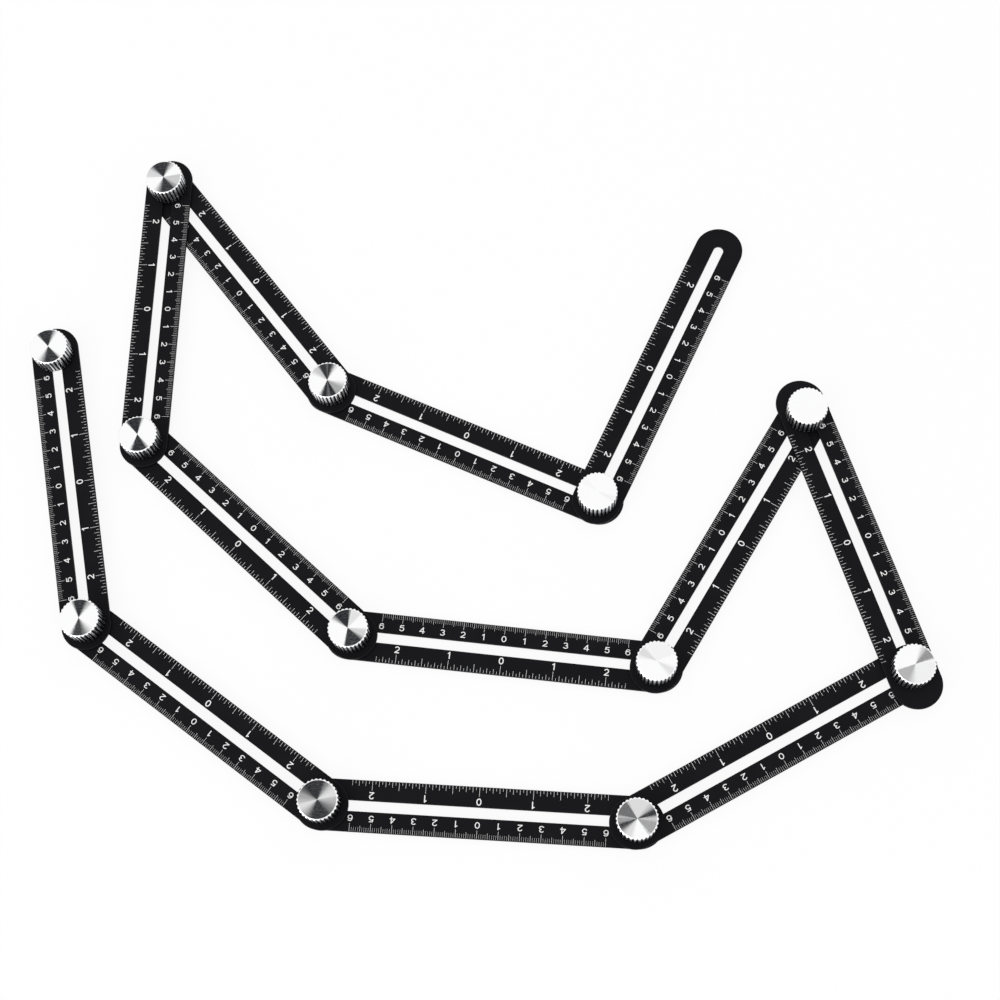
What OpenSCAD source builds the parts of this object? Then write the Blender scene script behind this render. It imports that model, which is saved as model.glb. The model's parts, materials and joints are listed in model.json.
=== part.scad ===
// Multi-angle folding ruler: twelve slotted metal arms joined end to end by clamping pivots.
// Millimetres, +Z up. The ruler lies spread out on a table, and the origin is on the table
// under the middle of the whole lay-out. Arm 6, in the middle of the chain, lies along X.

/* [Arms] */
// Length of one arm over its round ends
arm_l = 174; // [140:1:220]
// Width of one arm
arm_w = 24.4; // [22:0.2:30]
// Thickness of the arm's sheet
arm_t = 1.5; // [1:0.1:3]
// Width of the long slot
slot_w = 5.1; // [4.5:0.1:6]
// Metal left between the end of the slot and the end of the arm
slot_margin = 10; // [7:0.5:16]

/* [Pivot bolts] */
// Diameter of the flat head under the arms
head_d = 12; // [9:0.5:18]
// Thickness of the head
head_t = 1.6; // [1.2:0.1:3]
// Chamfer round the underside of the head and on the bolt's tip
bolt_edge = 0.4; // [0.2:0.1:0.8]
// Gap on each side of the bolt in a slot
slot_fit = 0.1; // [0.05:0.01:0.15]
// How far the corners of the squared neck stand out past its round shank
neck_corner = 0.2; // [0.12:0.02:0.3]
// Gap between the neck and the end of its slot when the arm is pulled out
end_play = 0.15; // [0.1:0.05:1]
// Length of bolt inside a knob that clamps two arms
grip = 7; // [4:0.1:8]

/* [Washers] */
// Diameter of the friction washer between two arms
spacer_d = 16; // [12:0.5:20]
// Thickness of the friction washer
spacer_t = 0.3; // [0.2:0.1:1]
// Diameter of the washer under a knob
seat_d = 16; // [12:0.5:19]
// Thickness of the washer under a knob
seat_t = 0.8; // [0.3:0.1:1.5]
// Radial gap between a washer and the bolt's neck
washer_fit = 0.1; // [0.05:0.01:0.3]

/* [Knobs] */
// Diameter of a knob over its knurl
knob_d = 19.6; // [16:0.2:23]
// Height of a knob
knob_h = 11; // [10:0.1:16]
// Number of knurl teeth
teeth = 30; // [24:1:48]
// Depth of the knurl
knurl = 0.6; // [0.3:0.05:0.9]
// Share of each tooth that is its flat crest
crest = 0.3; // [0.2:0.05:0.6]
// Width of the turned chamfer round the top of a knob
knob_edge = 0.9; // [0.7:0.1:2]
// Width of the chamfer round the foot of a knob
foot_edge = 0.4; // [0.2:0.1:0.8]
// Radial gap between the knob's thread and the bolt
thread_fit = 0.05; // [0.03:0.01:0.1]

/* [Lay-out] */
// How far the first bolt of arm 4 is slid in from the end of its slot
slid_in_4 = 3.3; // [0:0.1:20]
// How far the first bolt of arm 8 is slid in
slid_in_8a = 5.5; // [0:0.1:20]
// How far the last bolt of arm 8 is slid in
slid_in_8b = 6.2; // [0:0.1:20]
// How far the spare bolt of arm 12 is slid in
slid_in_12 = 2.2; // [0:0.1:20]

/* [Hidden] */
$fn = 72;
arms = 12;
root = arms / 2;
overcut = 0.01;

// Turn from each arm to the next at bolts 1 to 11, in degrees, as the ruler lies
fold = [-88.8, -27.6, 140.7, 48.7, 35.8, 65.5, -130.5, -79.8, -32.0, -32.7, -42.6];

// Bolt and bore sizes that follow from the slot
bolt_d = slot_w - 2 * slot_fit;
neck_d = bolt_d + 2 * neck_corner;
spacer_bore = neck_d + 2 * washer_fit;
stack_t = 2 * arm_t + spacer_t;
bolt_reach = stack_t + seat_t + grip;
// One arm fewer lets the spare bolt rise further into its knob
bore_h = grip + arm_t + bolt_edge;

// Farthest that the squared neck can slide from the middle of its slot
slot_c = arm_l / 2 - slot_margin - slot_w / 2;
flat_r = bolt_d / 2;
corner_y = sqrt(pow(neck_d / 2, 2) - flat_r * flat_r);
side_stop = slot_c + sqrt(pow(slot_w / 2, 2) - flat_r * flat_r) - corner_y;
nose_stop = slot_c + sqrt(pow(slot_w / 2, 2) - corner_y * corner_y) - flat_r;
travel = min(side_stop, nose_stop) - end_play;

// Height of each arm: the chain steps down, up, up and down again, three times over
function level(k) = [1, 0, 1, 2][(k - 1) % 4];
function arm_z(k) = head_t + level(k) * (arm_t + spacer_t);
function lower_arm(j) = j == arms ? arms : level(j) < level(j + 1) ? j : j + 1;
function upper_arm(j) = j == arms ? arms : level(j) > level(j + 1) ? j : j + 1;

// Place of the first and last bolt of an arm, along the arm from its middle
function first_bolt(k) = -travel + (k == 4 ? slid_in_4 : k == 8 ? slid_in_8a : 0);
function last_bolt(k) = travel - (k == 8 ? slid_in_8b : k == arms ? slid_in_12 : 0);

// Pose [x, y, turn] of an arm, worked out along the chain from the root arm
function along(pose, s) = [pose.x + s * cos(pose.z), pose.y + s * sin(pose.z)];
function pose_at(p, turn, s) = [p.x - s * cos(turn), p.y - s * sin(turn), turn];
function chain(k) =
    k == root ? [0, 0, 0] :
    k > root ? let (from = chain(k - 1))
        pose_at(along(from, last_bolt(k - 1)), from.z + fold[k - 2], first_bolt(k)) :
    let (from = chain(k + 1))
        pose_at(along(from, first_bolt(k + 1)), from.z - fold[k - 1], last_bolt(k));

// The table point under the middle of the lay-out
poses = [for (k = [1 : arms]) chain(k)];
half_run = (arm_l - arm_w) / 2;
reach_x = [for (p = poses) half_run * abs(cos(p.z)) + arm_w / 2];
reach_y = [for (p = poses) half_run * abs(sin(p.z)) + arm_w / 2];
ids = [0 : arms - 1];
middle = [
    (min([for (i = ids) poses[i].x - reach_x[i]]) + max([for (i = ids) poses[i].x + reach_x[i]])) / 2,
    (min([for (i = ids) poses[i].y - reach_y[i]]) + max([for (i = ids) poses[i].y + reach_y[i]])) / 2];

NAMES = ["ruler_arm_", "pivot_bolt_", "spacer_washer_", "knob_washer_", "clamp_knob_"];

// Frames that the pieces are drawn in: an arm's own middle, and a bolt's axis
module on_arm(k) {
    translate([poses[k - 1].x - middle.x, poses[k - 1].y - middle.y, arm_z(k)])
        rotate(poses[k - 1].z) children();
}

module on_bolt(j, z) {
    at = along(poses[j - 1], last_bolt(j));
    translate([at.x - middle.x, at.y - middle.y, z])
        rotate(poses[lower_arm(j) - 1].z) children();
}

// Flat bar with round ends, lying along X
module bar(l, w, h) {
    linear_extrude(h) {
        square([l - w, w], center = true);
        for (side = [-1, 1]) translate([side * (l - w) / 2, 0]) circle(d = w);
    }
}

module ring(d, bore, h) {
    difference() {
        cylinder(d = d, h = h);
        translate([0, 0, -overcut]) cylinder(d = bore, h = h + 2 * overcut);
    }
}

// One arm: a strip with round ends and a slot along its whole middle
module ruler_arm(k) {
    color([0.16, 0.16, 0.17]) on_arm(k) difference() {
        bar(arm_l, arm_w, arm_t);
        translate([0, 0, -overcut]) bar(2 * slot_c + slot_w, slot_w, arm_t + 2 * overcut);
    }
}

// Height of the underside of a bolt's head
function bolt_z(j) = arm_z(lower_arm(j)) - head_t - (j == arms ? spacer_t : 0);

// Flat-headed bolt: the squared neck is keyed in the lower arm's slot, the round shank carries the rest
module pivot_bolt(j) {
    color([0.6, 0.6, 0.62]) on_bolt(j, bolt_z(j)) {
        rotate_extrude() polygon([
            [0, 0], [head_d / 2 - bolt_edge, 0], [head_d / 2, bolt_edge], [head_d / 2, head_t], [flat_r, head_t],
            [flat_r, head_t + bolt_reach - bolt_edge], [flat_r - bolt_edge, head_t + bolt_reach],
            [0, head_t + bolt_reach]]);
        translate([0, 0, head_t]) intersection() {
            cylinder(d = neck_d, h = arm_t);
            translate([-flat_r, -flat_r, 0]) cube([bolt_d, bolt_d, arm_t]);
        }
    }
}

// Thin friction washer between two arms; the spare bolt's one lies under its only arm
module spacer_washer(j) {
    z = j == arms ? arm_z(arms) - spacer_t : arm_z(upper_arm(j)) - spacer_t;
    color([0.12, 0.12, 0.12]) on_bolt(j, z) ring(spacer_d, spacer_bore, spacer_t);
}

// Plain washer between the upper arm and the knob
module knob_washer(j) {
    color([0.08, 0.08, 0.08]) on_bolt(j, arm_z(upper_arm(j)) + arm_t)
        ring(seat_d, bolt_d + 2 * washer_fit, seat_t);
}

// Outline of the straight knurl: each tooth is a groove bottom and a narrow crest
module knurl_outline() {
    step = 360 / teeth;
    rise = (1 - crest) / 2;
    polygon([for (i = [0 : teeth - 1]) each [
        (knob_d / 2 - knurl) * [cos(i * step), sin(i * step)],
        knob_d / 2 * [cos((i + rise) * step), sin((i + rise) * step)],
        knob_d / 2 * [cos((i + 1 - rise) * step), sin((i + 1 - rise) * step)]]]);
}

// Knurled thumb nut, turned to a chamfer at the top, with a blind thread from below
module clamp_knob(j) {
    rim = knob_d / 2 + knurl;
    fall = (knob_edge + knurl) / 2;
    foot = foot_edge + knurl;
    color([0.86, 0.86, 0.88]) on_bolt(j, arm_z(upper_arm(j)) + arm_t + seat_t) difference() {
        intersection() {
            linear_extrude(knob_h) knurl_outline();
            rotate_extrude() polygon([
                [0, -overcut], [rim - foot - overcut, -overcut], [rim, foot], [rim, knob_h - fall],
                [knob_d / 2 - knob_edge, knob_h], [0, knob_h]]);
        }
        translate([0, 0, -overcut]) cylinder(r = flat_r + thread_fit, h = bore_h + overcut);
    }
}

for (k = [1 : arms]) {
    ruler_arm(k);
    pivot_bolt(k);
    spacer_washer(k);
    knob_washer(k);
    clamp_knob(k);
}
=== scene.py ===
# Multi-angle folding ruler, lying spread out on a white table. Metres, +Z up.
import json
import math

import bmesh
import bpy
from mathutils import Matrix, Vector

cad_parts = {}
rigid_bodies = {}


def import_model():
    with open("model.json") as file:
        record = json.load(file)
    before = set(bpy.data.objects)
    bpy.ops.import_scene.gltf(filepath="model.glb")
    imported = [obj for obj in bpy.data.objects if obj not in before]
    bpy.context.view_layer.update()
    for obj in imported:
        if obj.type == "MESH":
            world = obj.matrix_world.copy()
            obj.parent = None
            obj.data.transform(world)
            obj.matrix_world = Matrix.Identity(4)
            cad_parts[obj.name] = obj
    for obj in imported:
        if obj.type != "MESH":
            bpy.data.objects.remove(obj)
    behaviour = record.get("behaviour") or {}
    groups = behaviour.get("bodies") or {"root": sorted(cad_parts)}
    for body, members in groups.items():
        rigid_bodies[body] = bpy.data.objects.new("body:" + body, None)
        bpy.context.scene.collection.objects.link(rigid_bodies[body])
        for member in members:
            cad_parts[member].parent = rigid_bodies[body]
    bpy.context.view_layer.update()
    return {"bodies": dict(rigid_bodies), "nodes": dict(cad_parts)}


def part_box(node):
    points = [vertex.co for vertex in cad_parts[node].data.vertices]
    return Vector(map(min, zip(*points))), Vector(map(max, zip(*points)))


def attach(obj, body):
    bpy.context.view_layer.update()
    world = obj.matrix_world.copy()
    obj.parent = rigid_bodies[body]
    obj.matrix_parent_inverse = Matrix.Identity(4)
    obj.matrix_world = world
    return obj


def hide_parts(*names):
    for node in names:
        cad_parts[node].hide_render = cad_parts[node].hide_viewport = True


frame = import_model()

# The arms
# Twelve strips are punched from aluminium sheet, each with round ends and one long slot. They are tumbled,
# which leaves a fine chamfer round every outline, then blasted and anodised black.
MM = 0.001
ARMS = range(1, 13)
END_STEPS = 96
SHARP_CORNER = 60
slot_width = 5.1 * MM
slot_margin = 10 * MM
arm_chamfer = 0.18 * MM
arm_low, arm_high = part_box("ruler_arm_6")
arm_length, arm_width, arm_thick = arm_high - arm_low
black_deep = (0.0045, 0.0045, 0.0055, 1)
black_pale = (0.0085, 0.0085, 0.0100, 1)
# A painted highlight, paler along the arms' chamfers.
edge_painted_highlight = (0.022, 0.022, 0.025, 1)
black_spread = (0.3, 0.7)
black_rough = (0.40, 0.56)
black_sheen = 0.06
# How speckled the painted highlight on the chamfers is.
edge_highlight_spread = (0.2, 0.6)
blast_scale = 2600
blast_depth = 0.02 * MM
blast_bump = 0.25
cloud_scale = 55
cloud_share = 0.4

# How far upwards a face points: an upright wall at most, and a flat face at least.
UPRIGHT = 0.1
FLAT = 0.99


class Wire:
    """A socket in a material: arithmetic on it adds Math nodes, and node() adds any other node."""

    def __init__(self, tree, socket=None):
        self.tree = tree
        self.socket = socket

    def node(self, kind, settings, sockets, out=0):
        made = self.tree.nodes.new("ShaderNode" + kind)
        for name, value in settings.items():
            setattr(made, name, value)
        for name, value in sockets.items():
            if isinstance(value, Wire):
                self.tree.links.new(value.socket, made.inputs[name])
            else:
                made.inputs[name].default_value = value
        return Wire(self.tree, made.outputs[out] if made.outputs else None)

    def math(self, operation, *values):
        return self.node("Math", {"operation": operation}, dict(enumerate(values)))

    def __add__(self, other):
        return self.math("ADD", self, other)

    def __sub__(self, other):
        return self.math("SUBTRACT", self, other)

    def __rsub__(self, other):
        return self.math("SUBTRACT", other, self)

    def __mul__(self, other):
        return self.math("MULTIPLY", self, other)

    __radd__ = __add__
    __rmul__ = __mul__

    def ramp(self, start, end):
        """Rises smoothly from 0 at start to 1 at end."""
        return self.node("MapRange", {"interpolation_type": "SMOOTHSTEP"},
                         {"Value": self, "From Min": start, "From Max": end})

    def between(self, low, high):
        """Runs evenly from low where this value is 0 to high where it is 1."""
        return low + (high - low) * self

    def colour(self, first, last):
        """The first colour where this value is 0, the last where it is 1."""
        return self.node("Mix", {"data_type": "RGBA"}, {0: self, 6: first, 7: last}, out=2)

    def noise(self, where, scale, detail=2.0):
        return self.node("TexNoise", {}, {"Vector": where, "Scale": scale, "Detail": detail})


def new_finish(name):
    """An empty material, and the wire that its nodes are added by."""
    finish = bpy.data.materials.new(name)
    finish.use_nodes = True
    finish.node_tree.nodes.clear()
    return finish, Wire(finish.node_tree)


def close_finish(wire, fixed, varying):
    """Adds the shader with its fixed and varying sockets, and joins it to the output."""
    shader = wire.node("BsdfPrincipled", {}, {**fixed, **varying})
    wire.node("OutputMaterial", {}, {"Surface": shader})


def anodised_black():
    """Blasted black with a slow cloudiness, and a painted highlight that makes the chamfers a little paler.
    """
    finish, wire = new_finish("anodised_black")
    where = wire.node("TexCoord", {}, {}, out="Object")
    blasted = wire.noise(where, blast_scale, detail=3)
    cloudy = wire.noise(where, cloud_scale)
    edge = wire.node("Attribute", {"attribute_name": "edge"}, {}, out="Fac")
    uneven = blasted * (1 - cloud_share) + cloudy * cloud_share
    face_tone = uneven.ramp(*black_spread).colour(black_deep, black_pale)
    # The chamfers get a speckled painted highlight.
    tone = (edge * blasted.ramp(*edge_highlight_spread)).colour(face_tone, edge_painted_highlight)
    grain = wire.node("Bump", {}, {"Strength": blast_bump, "Distance": blast_depth, "Height": blasted})
    close_finish(wire, {"Specular IOR Level": black_sheen},
                 {"Base Color": tone, "Roughness": cloudy.between(*black_rough), "Normal": grain})
    return finish


def outline(shape, length, width, steps):
    """Edges round a bar with round ends: a ring that is parted at its middle, if it is longer than wide."""
    half_step = Matrix.Rotation(math.pi / steps, 4, "Z")
    ring = bmesh.ops.create_circle(shape, segments=steps, radius=width / 2, matrix=half_step)["verts"]
    for spot in ring:
        spot.co.x += math.copysign((length - width) / 2, spot.co.x)
    return list({edge for spot in ring for edge in spot.link_edges})


def punch(shape, outlines, thick, corner, steps):
    """Fills the sheet between two outlines, gives it its thickness and breaks its corners."""
    bmesh.ops.bridge_loops(shape, edges=outlines)
    lifted = bmesh.ops.extrude_face_region(shape, geom=shape.faces[:])["geom"]
    upper = [part for part in lifted if isinstance(part, bmesh.types.BMVert)]
    bmesh.ops.translate(shape, vec=(0, 0, thick), verts=upper)
    bmesh.ops.recalc_face_normals(shape, faces=shape.faces)
    corners = [edge for edge in shape.edges if edge.calc_face_angle() > math.radians(SHARP_CORNER)]
    bmesh.ops.bevel(shape, geom=corners, offset=corner, offset_type="OFFSET", segments=steps, profile=0.5,
                    affect="EDGES", material=-1)


def finished_mesh(shape, name, crease=25):
    """Turns a worked shape into a mesh that is smooth except at its creases."""
    bmesh.ops.recalc_face_normals(shape, faces=shape.faces)
    mesh = bpy.data.meshes.new(name)
    shape.to_mesh(mesh)
    shape.free()
    mesh.shade_smooth()
    mesh.set_sharp_from_angle(angle=math.radians(crease))
    return mesh


def arm_shape():
    """One arm about its own middle. Its chamfers, neither flat nor upright, are marked as its edge."""
    shape = bmesh.new()
    rim = outline(shape, arm_length, arm_width, END_STEPS)
    slot = outline(shape, arm_length - 2 * slot_margin, slot_width, END_STEPS)
    punch(shape, rim + slot, arm_thick, arm_chamfer, steps=1)
    mesh = finished_mesh(shape, "arm")
    edge = mesh.attributes.new("edge", "FLOAT", "FACE")
    edge.data.foreach_set("value", [float(UPRIGHT < abs(face.normal.z) < FLAT) for face in mesh.polygons])
    return mesh


def middle(node):
    low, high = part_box(node)
    return (low + high) / 2


def arm_place(k):
    """Where arm k lies: at the middle of its underside, with X towards the bolt that is named after it."""
    centre = middle(f"ruler_arm_{k}")
    centre.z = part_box(f"ruler_arm_{k}")[0].z
    reach = middle(f"spacer_washer_{k}") - centre
    return Matrix.Translation(centre) @ Matrix.Rotation(math.atan2(reach.y, reach.x), 4, "Z")


def fit(name, mesh, place, finish, body):
    """Puts a mesh in its place as one piece of the ruler, riding on a body."""
    mesh.transform(place)
    mesh.materials.append(finish)
    piece = bpy.data.objects.new(name, mesh)
    bpy.context.scene.collection.objects.link(piece)
    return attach(piece, body)


arm_mesh = arm_shape()
arm_finish = anodised_black()
for k in ARMS:
    arm = fit(f"arm_{k}", arm_mesh.copy(), arm_place(k), arm_finish, f"arm_{k}")
    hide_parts(f"ruler_arm_{k}")

# The printed scales
# Both edges of every arm are screen printed in white: centimetres on one side of the slot and inches in
# sixteenths on the other, each counted outwards from the middle. The ink is a thin film on top of the black.
INCH = 25.4 * MM
SIXTEENTH = INCH / 16
MM_TICKS = 60
INCH_TICKS = 38
STROKE_LIFT = 0.01
BOW_STEP = 15
ink_height = 0.02 * MM
tick_inset = 0.25 * MM
ink_thin = (0.76, 0.76, 0.76, 1)
ink_full = (0.94, 0.94, 0.93, 1)
ink_spread = (0.25, 0.6)
ink_rough = (0.5, 0.7)
ink_sheen = 0.3
screen_scale = 3200

# Length and width of the ticks, by how many millimetres or sixteenths of an inch they mark off.
cm_ticks = {
    10: (3.85 * MM, 0.125 * MM),
    5: (2.75 * MM, 0.11 * MM),
    1: (2.05 * MM, 0.07 * MM),
}
inch_ticks = {
    16: (4.4 * MM, 0.14 * MM),
    8: (3.8 * MM, 0.14 * MM),
    2: (2.5 * MM, 0.125 * MM),
    1: (1.35 * MM, 0.12 * MM),
}

# Each row of figures: how far it counts and at what pitch, its place across the arm, and the figures' height.
# Their spread and stroke are shares of that height.
cm_figures = {
    "last": 6, "pitch": 10 * MM, "across": 5.75 * MM, "height": 3.1 * MM, "spread": 1.12, "stroke": 0.125,
}
inch_figures = {
    "last": 2, "pitch": INCH, "across": -5.08 * MM, "height": 3.42 * MM, "spread": 1.0, "stroke": 0.145,
}


def add_ticks(shape, side, reach, pitch, kinds):
    """A row of ticks standing on one edge of the arm, reach of them on each side of the middle."""
    for n in range(-reach, reach + 1):
        length, width = next(sizes for step, sizes in kinds.items() if n % step == 0)
        y = side * (arm_width / 2 - tick_inset - length / 2)
        block = Matrix.Diagonal((width, length, ink_height, 1))
        place = Matrix.Translation((n * pitch, y, ink_height / 2))
        bmesh.ops.create_cube(shape, size=1, matrix=place @ block)


def bow(x, y, across, tall, start, end):
    """Points along a part of an oval, in degrees from its right side."""
    steps = round(abs(end - start) / BOW_STEP)
    turns = [math.radians(start + (end - start) * n / steps) for n in range(steps + 1)]
    return [(x + across * math.cos(turn), y + tall * math.sin(turn)) for turn in turns]


# The strokes of the figures 0 to 6, in a box of height 1 about the origin.
FIGURES = [
    [bow(0, 0, 0.28, 0.42, 0, 360)],
    [[(0.07, 0.50), (0.07, -0.50)], [(0.06, 0.43), (-0.05, 0.31), (-0.20, 0.24)]],
    [bow(0, 0.16, 0.27, 0.26, 165, -30) + [(-0.24, -0.38)], [(-0.34, -0.42), (0.33, -0.42)]],
    [bow(-0.02, 0.22, 0.25, 0.20, 160, -90), bow(-0.02, -0.20, 0.29, 0.22, 90, -165)],
    [[(0.14, 0.50), (0.14, -0.50)], [(-0.38, -0.20), (0.37, -0.20)], [(0.13, 0.44), (-0.32, -0.20)]],
    [[(-0.24, 0.42), (0.29, 0.42)], [(-0.18, 0.42), (-0.25, 0.02)], bow(-0.02, -0.13, 0.29, 0.29, 145, -160)],
    [bow(0, -0.14, 0.28, 0.28, 0, 360), bow(0.03, 0, 0.31, 0.42, 195, 40)],
]


def figure_mesh(lines, stroke):
    """One printed figure of height 1, drawn by a round pen that is pressed flat."""
    pen = bpy.data.curves.new("pen", "CURVE")
    pen.dimensions = "3D"
    pen.bevel_depth = stroke / 2
    pen.bevel_resolution = 1
    pen.use_fill_caps = True
    for n, points in enumerate(lines):
        closed = math.dist(points[0], points[-1]) < stroke / 10
        if closed:
            points = points[1:]
        drawn = pen.splines.new("POLY")
        drawn.points.add(len(points) - 1)
        drawn.use_cyclic_u = closed
        for spot, (x, y) in zip(drawn.points, points):
            spot.co = (x, y, n * STROKE_LIFT, 1)
    written = bpy.data.objects.new("figure", pen)
    bpy.context.scene.collection.objects.link(written)
    mesh = bpy.data.meshes.new_from_object(written.evaluated_get(bpy.context.evaluated_depsgraph_get()))
    bpy.data.objects.remove(written)
    mesh.transform(Matrix.Diagonal((1, 1, 1 / stroke, 1)) @ Matrix.Translation((0, 0, stroke / 2)))
    return mesh


def add_figures(shape, last, pitch, across, height, spread, stroke):
    """A row of figures counted outwards from the middle."""
    figures = [figure_mesh(lines, stroke) for lines in FIGURES[:last + 1]]
    size = Matrix.Diagonal((height * spread, height, ink_height, 1))
    for n in range(-last, last + 1):
        before = len(shape.verts)
        shape.from_mesh(figures[abs(n)])
        shape.verts.ensure_lookup_table()
        place = Matrix.Translation((n * pitch, across, 0))
        bmesh.ops.transform(shape, matrix=place @ size, verts=shape.verts[before:])


def scale_shape():
    shape = bmesh.new()
    add_ticks(shape, 1, MM_TICKS, MM, cm_ticks)
    add_ticks(shape, -1, INCH_TICKS, SIXTEENTH, inch_ticks)
    add_figures(shape, **cm_figures)
    add_figures(shape, **inch_figures)
    return finished_mesh(shape, "scale")


def white_ink():
    """Ink that the screen has laid a little thinner in places."""
    finish, wire = new_finish("white_ink")
    where = wire.node("TexCoord", {}, {}, out="Object")
    screen = wire.noise(where, screen_scale)
    tone = screen.ramp(*ink_spread).colour(ink_thin, ink_full)
    close_finish(wire, {"Specular IOR Level": ink_sheen},
                 {"Base Color": tone, "Roughness": screen.between(*ink_rough)})
    return finish


scale_mesh = scale_shape()
ink = white_ink()
on_top = Matrix.Translation((0, 0, arm_thick))
for k in ARMS:
    fit(f"scale_{k}", scale_mesh.copy(), arm_place(k) @ on_top, ink, f"arm_{k}")

# The pivot bolts
# A flat-headed steel bolt comes up through both arms at every pivot, and its squared neck is keyed in the
# lower arm's slot. It is turned and zinc plated.
zinc_dull = (0.42, 0.42, 0.44, 1)
zinc_bright = (0.62, 0.62, 0.62, 1)
zinc_spread = (0.3, 0.7)
zinc_rough = (0.28, 0.48)
crystal_scale = 900
crystal_depth = 0.02 * MM
crystal_bump = 0.2


def zinc_plate():
    """Plating with fine crystals, each a little duller or brighter than the next."""
    finish, wire = new_finish("zinc_plate")
    where = wire.node("TexCoord", {}, {}, out="Object")
    crystals = wire.noise(where, crystal_scale, detail=4)
    tone = crystals.ramp(*zinc_spread).colour(zinc_dull, zinc_bright)
    skin = wire.node("Bump", {}, {"Strength": crystal_bump, "Distance": crystal_depth, "Height": crystals})
    close_finish(wire, {"Metallic": 1.0},
                 {"Base Color": tone, "Roughness": crystals.between(*zinc_rough), "Normal": skin})
    return finish


zinc = zinc_plate()
for j in ARMS:
    bolt = frame["nodes"][f"pivot_bolt_{j}"].data
    bolt.materials.clear()
    bolt.materials.append(zinc)

# The washers
# A thin nylon friction washer parts the two arms of a pivot, and a thicker one lies under each knob. Both are
# stamped from black sheet, which rounds their edges, and they run clear of the arm's ink by a hair.
WASHER_STEPS = 72
washer_relief = 0.03 * MM
washer_round = 0.05 * MM
friction_bore = 5.5 * MM
seat_bore = 5.1 * MM
nylon_deep = (0.010, 0.010, 0.011, 1)
nylon_rubbed = (0.030, 0.030, 0.031, 1)
nylon_spread = (0.35, 0.75)
nylon_rough = (0.45, 0.70)
nylon_sheen = 0.3
rub_scale = 700


def washer_shape(node, bore):
    """A flat ring of the node's size, a hair thinner on both faces, with its edges rounded."""
    wide, _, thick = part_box(node)[1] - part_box(node)[0]
    shape = bmesh.new()
    rim = outline(shape, wide, wide, WASHER_STEPS)
    hole = outline(shape, bore, bore, WASHER_STEPS)
    punch(shape, rim + hole, thick - 2 * washer_relief, washer_round, steps=2)
    return finished_mesh(shape, "washer", crease=50)


def add_washer(name, mesh, node, body):
    """Lays a washer in the place of its node, riding on a body."""
    centre = middle(node)
    centre.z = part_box(node)[0].z + washer_relief
    washer = fit(name, mesh.copy(), Matrix.Translation(centre), nylon, body)
    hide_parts(node)


def black_nylon():
    """Black sheet, rubbed paler in patches where it has turned."""
    finish, wire = new_finish("black_nylon")
    where = wire.node("TexCoord", {}, {}, out="Object")
    rubbed = wire.noise(where, rub_scale, detail=3)
    tone = rubbed.ramp(*nylon_spread).colour(nylon_deep, nylon_rubbed)
    close_finish(wire, {"Specular IOR Level": nylon_sheen},
                 {"Base Color": tone, "Roughness": rubbed.between(*nylon_rough)})
    return finish


nylon = black_nylon()
friction_mesh = washer_shape("spacer_washer_1", friction_bore)
seat_mesh = washer_shape("knob_washer_1", seat_bore)
for j in ARMS:
    # The spare bolt's friction washer has no body of its own, and rides on that bolt.
    carrier = f"spacer_{j}" if f"spacer_{j}" in frame["bodies"] else f"bolt_{j}"
    add_washer(f"friction_washer_{j}", friction_mesh, f"spacer_washer_{j}", carrier)
    add_washer(f"seat_washer_{j}", seat_mesh, f"knob_washer_{j}", f"knob_washer_{j}")

# The clamping knobs
# Each is a thumb nut turned from aluminium bar: a straight knurl is rolled into its rim, the top corner is
# chamfered bright, and the flat top is faced in the lathe, which leaves fine rings. The faced top carries
# wedges of painted shade, a painted reflection of dark surroundings, and the knurl is painted too.
TEETH = 30
STEPS_PER_TOOTH = 8
CHAMFER_STEPS = 4
FACING_RINGS = 26
knob_low, knob_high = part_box("clamp_knob_1")
knob_height = knob_high.z - knob_low.z
knob_radius = 9.8 * MM
knurl_depth = 0.6 * MM
top_radius = 8.9 * MM
rim_fall = 0.45 * MM
foot_edge = 0.4 * MM
bore_radius = 2.5 * MM
bore_depth = 8.9 * MM
facing_depth = 0.010 * MM
facing_bump = 0.3
face_start = 0.05 * MM
face_whole = 0.03 * MM
shoulder_blend = 0.1 * MM
weld_gap = 0.001 * MM
bright_metal = (0.98, 0.98, 0.985, 1)
# The colour of the painted shade in the wedges of the faced tops.
shaded_metal = (0.018, 0.019, 0.023, 1)
crest_metal = (0.86, 0.87, 0.89, 1)
crest_dull = (0.34, 0.35, 0.37, 1)
# Painted shade in the grooves of the knurl.
groove_painted_shade = (0.025, 0.026, 0.030, 1)
crest_rise = (0.40, 0.85)
faced_rough = (0.22, 0.30)
knurl_rough = 0.06
streak_scale = 14
streak_wander = 14
streak_shade = 0.03
grain_scale = 3.2
grain_wander = 10
grain_shade = (0.80, 1.20)
ring_scale = 7
roll_scale = 5
roll_spread = (0.38, 0.62)
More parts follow.
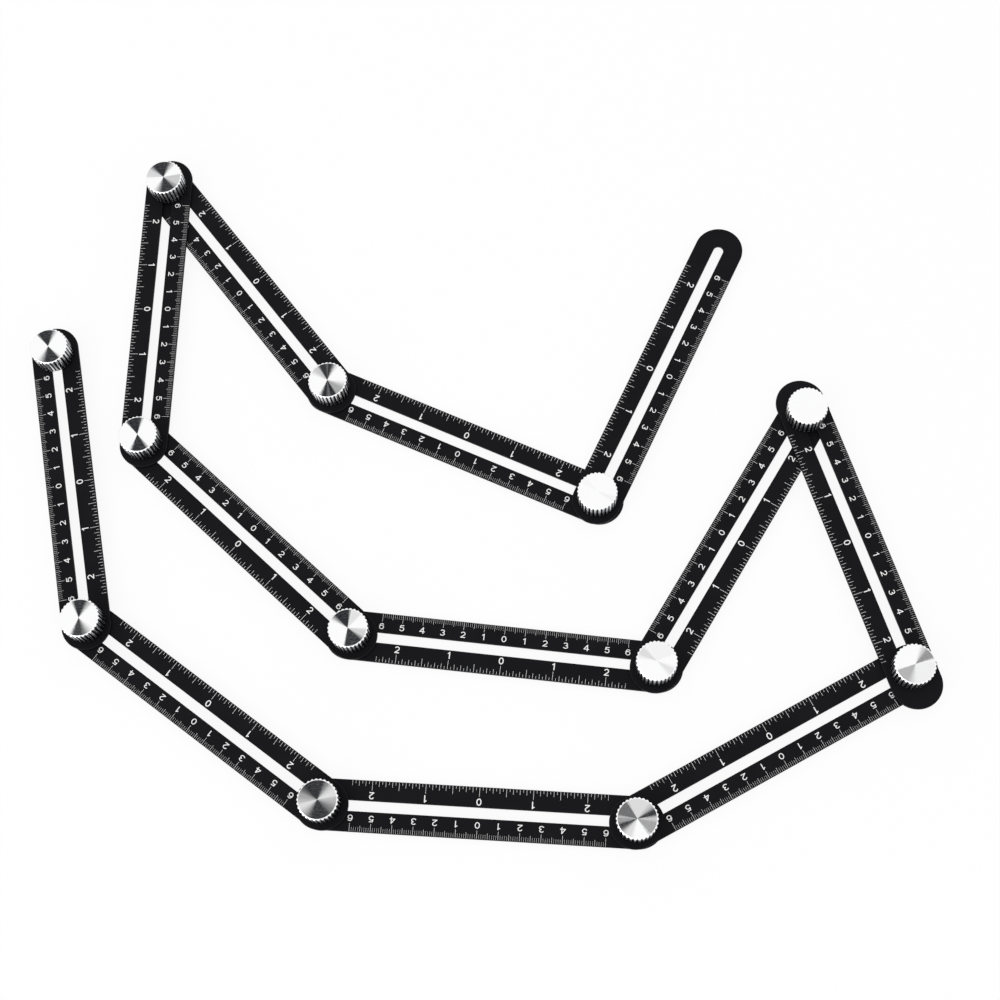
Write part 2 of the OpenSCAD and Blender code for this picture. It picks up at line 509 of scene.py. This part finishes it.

# Wedges of painted shade on the faced tops, a painted reflection of dark surroundings: where each starts and
# ends, how far it takes to rise before and to fall after that, all in degrees, and its depth.
PAINTED_SHADE_WEDGES = {
    1: [(336, 342, 14, 12, 0.08), (140, 150, 14, 12, 0.04)],
    2: [(84, 122, 26, 16, 0.86), (88, 93, 10, 8, 0.85), (108, 121, 9, 8, 0.85), (126, 142, 8, 30, 0.40),
        (262, 304, 18, 12, 0.86), (266, 274, 10, 8, 0.90), (294, 302, 9, 8, 0.90), (306, 332, 8, 36, 0.60)],
    3: [(90, 133, 40, 36, 0.98), (165, 183, 12, 9, 0.28), (280, 314, 44, 28, 0.97), (330, 373, 10, 7, 0.38)],
    4: [(93, 135, 18, 10, 0.99), (266, 309, 16, 16, 0.98)],
    5: [(95, 138, 12, 28, 0.99), (58, 80, 12, 8, 0.22), (273, 324, 11, 18, 0.97), (336, 354, 8, 18, 0.34)],
    6: [(145, 160, 18, 24, 0.26), (325, 337, 16, 16, 0.20), (35, 120, 15, 15, 0.08)],
    7: [],
    8: [(28, 48, 11, 38, 0.69), (209, 242, 9, 40, 0.53), (280, 370, 30, 10, 0.10)],
    9: [(22, 28, 15, 36, 0.97), (132, 172, 12, 14, 0.84), (186, 204, 10, 8, 0.66), (207, 214, 10, 26, 0.93),
        (322, 354, 16, 12, 0.62), (364, 382, 8, 8, 0.40), (56, 122, 14, 10, 0.27), (215, 250, 5, 20, 0.25)],
    10: [(87, 136, 54, 66, 0.97), (266, 309, 58, 68, 0.96), (178, 196, 12, 8, 0.28), (340, 372, 14, 8, 0.28),
         (0, 360, 1, 1, 0.25)],
    11: [(86, 116, 40, 14, 0.98), (266, 288, 20, 52, 0.95)],
    12: [(93, 134, 30, 13, 0.98), (278, 316, 44, 17, 0.97)],
}

# How bright each knurl's painted reflection is beside plain aluminium, from knob 1 to knob 12.
KNURL_PAINTED_SHINE = [0.9, 1.3, 1.5, 0.75, 0.5, 0.6, 1.2, 0.9, 0.25, 0.35, 0.85, 1.5]


def knob_profile():
    """Points from the bore's roof down, out under the knob, up its rim and in over the top."""
    foot_radius = knob_radius - foot_edge
    points = [(0, bore_depth), (bore_radius, bore_depth), (bore_radius, 0), (foot_radius - knurl_depth, 0)]
    for n in range(CHAMFER_STEPS + 1):
        rise = foot_edge * n / CHAMFER_STEPS
        points.append((foot_radius + rise, rise))
    for n in range(CHAMFER_STEPS * 2 + 1):
        inward = n / CHAMFER_STEPS / 2
        radius = knob_radius + (top_radius - knob_radius) * inward
        points.append((radius, knob_height - rim_fall * (1 - inward)))
    for n in range(1, FACING_RINGS):
        points.append((top_radius * (1 - n / FACING_RINGS), knob_height - facing_depth * (n % 2)))
    points.append((0, knob_height))
    return points


def tooth_radius(angle):
    """The knurl: round crests with sharp grooves between them."""
    return knob_radius - knurl_depth * (1 - abs(math.sin(angle * TEETH / 2)))


def knob_shape():
    """One knob about its axis, with its own place on the lathe kept in millimetres at every point."""
    shape = bmesh.new()
    spots = [shape.verts.new((r, 0, z)) for r, z in knob_profile()]
    line = [shape.edges.new(pair) for pair in zip(spots, spots[1:])]
    bmesh.ops.spin(shape, geom=spots + line, cent=(0, 0, 0), axis=(0, 0, 1), angle=2 * math.pi,
                   steps=TEETH * STEPS_PER_TOOTH, use_merge=True)
    bmesh.ops.remove_doubles(shape, verts=shape.verts, dist=weld_gap)
    for spot in shape.verts:
        radius = math.hypot(spot.co.x, spot.co.y)
        limit = tooth_radius(math.atan2(spot.co.y, spot.co.x))
        if radius > limit:
            spot.co.x *= limit / radius
            spot.co.y *= limit / radius
    mesh = finished_mesh(shape, "knob", crease=40)
    lathe = mesh.attributes.new("lathe", "FLOAT_VECTOR", "POINT")
    lathe.data.foreach_set("vector", [c / MM for v in mesh.vertices for c in v.co])
    return mesh


def painted_wedge_shade(wire, wedges, angle, streaks, grains):
    """How far each point of a faced top lies in painted shade, with edges that wander along the lathe's
    marks.
    """
    wander = (streaks - 0.5) * streak_wander + (grains - 0.5) * grain_wander
    lit = 1 - streak_shade * streaks
    for start, end, rise, fall, depth in wedges:
        half = (end - start) / 2
        off = wire.math("WRAP", angle * math.degrees(1) - (start + half) + wander, 180, -180)
        wedge = off.ramp(-half - rise, -half) * (1 - off.ramp(half, half + fall))
        lit = lit * (1 - depth * wedge * grains.between(*grain_shade))
    return 1 - lit


def painted_shine(metal, painted_gain):
    """The colour of a metal made duller or brighter as a painted reflection, but no brighter than the faced
    top.
    """
    return [min(part * painted_gain, most) for part, most in zip(metal[:3], bright_metal)] + [1]


def turned_aluminium(j):
    """Bright faced top with wedges of painted shade; a knurl with grooves in painted shade, teeth in painted
    reflection.
    """
    finish, wire = new_finish(f"turned_aluminium_{j}")
    painted_gain = KNURL_PAINTED_SHINE[j - 1]
    lathe = wire.node("Attribute", {"attribute_name": "lathe"}, {}, out="Vector")
    x, y, z = (wire.node("SeparateXYZ", {}, {0: lathe}, out=axis) for axis in range(3))
    angle = wire.math("ARCTAN2", y, x)
    radius = wire.math("SQRT", x * x + y * y)
    ray = wire.node("VectorMath", {"operation": "NORMALIZE"}, {0: wire.node("CombineXYZ", {}, {0: x, 1: y})})
    streaks = wire.noise(ray, streak_scale, detail=4)
    grains = wire.noise(wire.node("CombineXYZ", {}, {0: angle, 1: radius}), grain_scale, detail=4)
    rings = wire.node("TexNoise", {"noise_dimensions": "1D"}, {"W": radius, "Scale": ring_scale, "Detail": 3})
    faced = z.ramp((knob_height - face_start) / MM, (knob_height - face_whole) / MM)
    # Wedges of painted shade on the faced top.
    shade = faced * painted_wedge_shade(wire, PAINTED_SHADE_WEDGES[j], angle, streaks, grains)
    # The knurl's teeth, with painted shade in the grooves between them.
    crest = wire.math("ABSOLUTE", wire.math("SINE", angle * (TEETH / 2))).ramp(*crest_rise)
    patchy = wire.noise(ray, roll_scale).ramp(*roll_spread)
    # The teeth, patchy at random, made duller or brighter by the knob's painted reflection.
    rolled = patchy.colour(painted_shine(crest_dull, painted_gain), painted_shine(crest_metal, painted_gain))
    knurl = crest.colour(groove_painted_shade, rolled)
    shoulder = (knob_height - rim_fall) / MM
    below = 1 - z.ramp(shoulder - shoulder_blend / MM, shoulder)
    tone = below.colour(shade.colour(bright_metal, shaded_metal), knurl)
    lines = wire.node("Bump", {},
                      {"Strength": facing_bump, "Distance": facing_depth, "Height": rings * faced})
    rough = rings.between(*faced_rough) + knurl_rough * below
    close_finish(wire, {"Metallic": 1.0}, {"Base Color": tone, "Roughness": rough, "Normal": lines})
    return finish


knob_mesh = knob_shape()
for j in ARMS:
    centre = middle(f"knob_washer_{j}")
    centre.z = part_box(f"clamp_knob_{j}")[0].z
    place = Matrix.Translation(centre)
    knob = fit(f"knob_{j}", knob_mesh.copy(), place, turned_aluminium(j), f"knob_{j}")
    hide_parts(f"clamp_knob_{j}")

# The table
# A plain white sheet, far wider than the ruler, that keeps a faint trace of its shadow. What looks straight
# at it, or mirrors it, sees it almost wholly white.
table_half = 4.0
table_drop = 0.05 * MM
table_lift = 0.90
paper_white = (0.95, 0.95, 0.95, 1)
white = (1, 1, 1, 1)


def seen(wire):
    """1 for a ray that looks or mirrors, 0 for one that only carries light."""
    camera, glossy, clear = (
        wire.node("LightPath", {}, {}, out=name)
        for name in ("Is Camera Ray", "Is Glossy Ray", "Is Transmission Ray")
    )
    return wire.math("MAXIMUM", wire.math("MAXIMUM", camera, glossy), clear)


def white_sheet():
    finish, wire = new_finish("white_sheet")
    paper = wire.node("BsdfDiffuse", {}, {"Color": paper_white})
    glow = wire.node("Emission", {}, {"Color": white, "Strength": 1.0})
    surface = wire.node("MixShader", {}, {0: seen(wire) * table_lift, 1: paper, 2: glow})
    wire.node("OutputMaterial", {}, {"Surface": surface})
    return finish


sheet = bmesh.new()
bmesh.ops.create_grid(sheet, x_segments=1, y_segments=1, size=table_half,
                      matrix=Matrix.Translation((0, 0, -table_drop)))
table = bpy.data.objects.new("table", finished_mesh(sheet, "table"))
table.data.materials.append(white_sheet())
bpy.context.scene.collection.objects.link(table)

# The light
# A white tent lights the ruler evenly from all round, and one broad panel in front, at the left, gives the
# knurls and edges some direction.
tent_strength = 0.92
panel_watts = 9
panel_size = 1.4
panel_spot = Vector((-1.1, -1.3, 1.3))

world = bpy.data.worlds.new("tent")
world.use_nodes = True
world.node_tree.nodes.clear()
sky = Wire(world.node_tree)
strength = seen(sky).between(tent_strength, 1)
sky.node("OutputWorld", {}, {"Surface": sky.node("Background", {}, {"Color": white, "Strength": strength})})
bpy.context.scene.world = world

panel = bpy.data.objects.new("panel", bpy.data.lights.new("panel", "AREA"))
panel.data.energy = panel_watts
panel.data.size = panel_size
panel.location = panel_spot
panel.rotation_euler = (-panel_spot).to_track_quat("-Z", "Y").to_euler()
bpy.context.scene.collection.objects.link(panel)

# The camera
# It looks steeply down from in front of the middle arm, a little rolled, with no shift.
SENSOR = 36
lens = 60.1
camera_spot = Vector((95.7, -253.1, 787.9)) * MM
camera_turn = math.radians(17.37)
camera_dip = math.radians(71.34)
camera_roll = math.radians(-10.88)

camera = bpy.data.objects.new("camera", bpy.data.cameras.new("camera"))
camera.data.lens = lens
camera.data.sensor_width = SENSOR
camera.location = camera_spot
aim = Matrix.Rotation(camera_turn, 4, "Z") @ Matrix.Rotation(math.pi / 2 - camera_dip, 4, "X")
camera.rotation_euler = (aim @ Matrix.Rotation(camera_roll, 4, "Z")).to_euler()
bpy.context.scene.collection.objects.link(camera)
bpy.context.scene.camera = camera
bpy.context.scene.view_settings.view_transform = "Standard"
